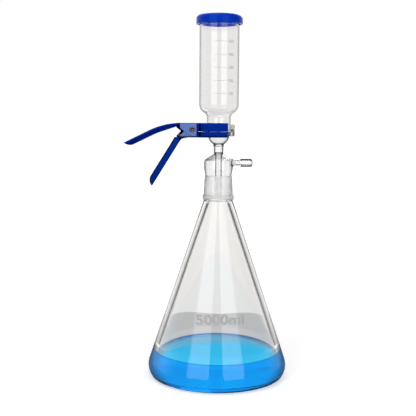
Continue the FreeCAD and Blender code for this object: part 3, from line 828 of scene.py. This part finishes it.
def makeAnodised(look, lever):
    material, tree = blankMaterial(lever["name"])
    coords, grain = placeGrain(tree, (-900, -100), look["grain"])
    places = axesNode(tree, (-900, 500), coords["Object"])
    sideways = axesNode(tree, (-900, 800), coords["Normal"])["Y"]
    earStart, earEnd = look["earsBetween"]
    # painted shade: rims and webs are darker than the flanges, and the flanges are near black inside
    level = mathNode(tree, "ABSOLUTE", (-750, 800), sideways)
    rims = mathNode(tree, "LESS_THAN", (-600, 850), level, look["flangeFrom"])
    flange = mathNode(tree, "SUBTRACT", (-300, 550), 1.0, rims)
    half = mathNode(tree, "ABSOLUTE", (-750, 400), places["Y"])
    ear = mathNode(tree, "LESS_THAN", (-600, 400), half, lever["earInside"])
    nearJaw = mathNode(tree, "GREATER_THAN", (-600, 550), places["X"], earStart)
    deep = mathNode(tree, "MULTIPLY", (-450, 450), ear, nearJaw)
    between = mathNode(tree, "LESS_THAN", (-600, 250), half, look["handleInside"])
    inside = mathNode(tree, "MAXIMUM", (-300, 400), deep, between)
    inside = mathNode(tree, "MULTIPLY", (-200, 450), inside, flange)
    # a glossy coat and a lighter painted sheen on the outside of each ear
    behind = mathNode(tree, "LESS_THAN", (-600, 700), places["X"], earEnd)
    coatAndPaintedSheen = mathNode(tree, "MULTIPLY", (-450, 650), behind, nearJaw)
    outer = mathNode(tree, "SUBTRACT", (-250, 600), 1.0, inside)
    coatAndPaintedSheen = mathNode(tree, "MULTIPLY", (-100, 650), coatAndPaintedSheen, outer)
    coatAndPaintedSheen = mathNode(tree, "MULTIPLY", (0, 650), coatAndPaintedSheen, flange)
    # the handle tone: painted shade on the upper lever, painted light on the lower
    handle = mathNode(tree, "LESS_THAN", (-600, 50), places["X"], earStart)
    tone = mixNode(tree, (-500, 200), grain["Patches"], *look["outside"])
    tone = mixNode(tree, (-400, 200), handle, tone, lever["handle"], blend_type="MULTIPLY")
    tone = mixNode(tree, (-300, 200), rims, tone, look["edges"])
    tone = mixNode(tree, (-100, 200), inside, tone, look["inside"])
    tone = mixNode(tree, (100, 200), coatAndPaintedSheen, tone, look["ears"])
    relief = placeBump(tree, grain["Height"], *look["bump"])
    principled(tree, {"Base Color": tone, "Roughness": grain["Roughness"], "Normal": relief,
                      "Coat Weight": coatAndPaintedSheen, **look["plain"]})
    return material


def makePinSteel(look):
    material, tree = blankMaterial(look["name"])
    coords, grain = placeGrain(tree, (-700, -100), look["grain"])
    centred = vectorNode(tree, "SUBTRACT", (-700, 300), coords["Object"], look["axis"])
    radius = lengthAlong(tree, (-550, 300), centred, aroundY)
    radius = mathNode(tree, "MULTIPLY", (-300, 300), radius, 100.0)     # to cm
    paintedShadeRings = rampNode(tree, (-150, 300), radius, look["paintedShadeRings"])
    principled(tree, {"Base Color": paintedShadeRings, "Roughness": grain["Roughness"], "Metallic": 1.0,
                      "Normal": placeBump(tree, paintedShadeRings, *look["bump"])})
    return material


def placeSpring(material):
    piece = copyOfNode("torsion_spring", "woundSpring")
    bpy.ops.object.mode_set(mode="OBJECT")
    piece.data.materials.clear()
    piece.data.materials.append(material)
    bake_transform(piece)
    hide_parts("torsion_spring")


dress("clamp_upper_lever", makeAnodised(clampLook, upperLook))
dress("clamp_lower_lever", makeAnodised(clampLook, lowerLook))
dress("pivot_pin", makePinSteel(pinLook))
placeSpring(makeFinish(steelLook))
print("clamp ready")


# Lid, sintered disc and membrane

lidLook = {
    "name": "blueLidPlastic",
    "grain": (500.0, 0.5, 0.06, 0.12),
    "mixedBy": "Patches",
    "tones": ((0.0004, 0.034, 0.47, 1), (0.0005, 0.040, 0.52, 1)),
    "bump": (0.1, 0.00004),
    "plain": {"Specular IOR Level": 0.14, "Specular Tint": (0.35, 0.6, 1.0, 1)},
    # a painted glow on the thin skirt and plug, for the light they let through
    "glow": (0.0002, 0.018, 0.22, 1),
    "glowHeights": (0.5845, 0.5860),
    "glowRadius": 0.0332,
}
discLook = {
    "name": "sinteredGlass",
    "grain": (1500.0, 0.7, 0.6, 0.8),
    "mixedBy": "Height",
    "tones": ((0.70, 0.70, 0.69, 1), (0.90, 0.90, 0.89, 1)),
    "bump": (0.6, 0.0002),
    "plain": {},
}
paperLook = {
    "name": "membranePaper",
    "grain": (2600.0, 0.8, 0.75, 0.9),
    "mixedBy": "Patches",
    "tones": ((0.80, 0.80, 0.78, 1), (0.93, 0.93, 0.91, 1)),
    "bump": (0.3, 0.00005),
    "plain": {"Specular IOR Level": 0.2},
}


def makeLidPlastic(look):
    material, tree, coords, values = startFinish(look)
    height = axesNode(tree, (-500, 450), coords["Object"])["Z"]
    low = rangeNode(tree, (-350, 450), height, look["glowHeights"], (1.0, 0.0))
    across = lengthAlong(tree, (-500, 650), coords["Object"], aroundZ)
    within = mathNode(tree, "LESS_THAN", (-200, 650), across, look["glowRadius"])
    within = mathNode(tree, "MULTIPLY", (-150, 550), within, low)
    # the painted glow
    values["Emission Color"] = mixNode(tree, (-100, 450), within, black, look["glow"])
    values["Emission Strength"] = 1.0
    principled(tree, values)
    return material


dress("cup_lid", makeLidPlastic(lidLook))
dress("frit_disc", makeFinish(discLook))
dress("filter_membrane", makeFinish(paperLook))
print("materials ready")
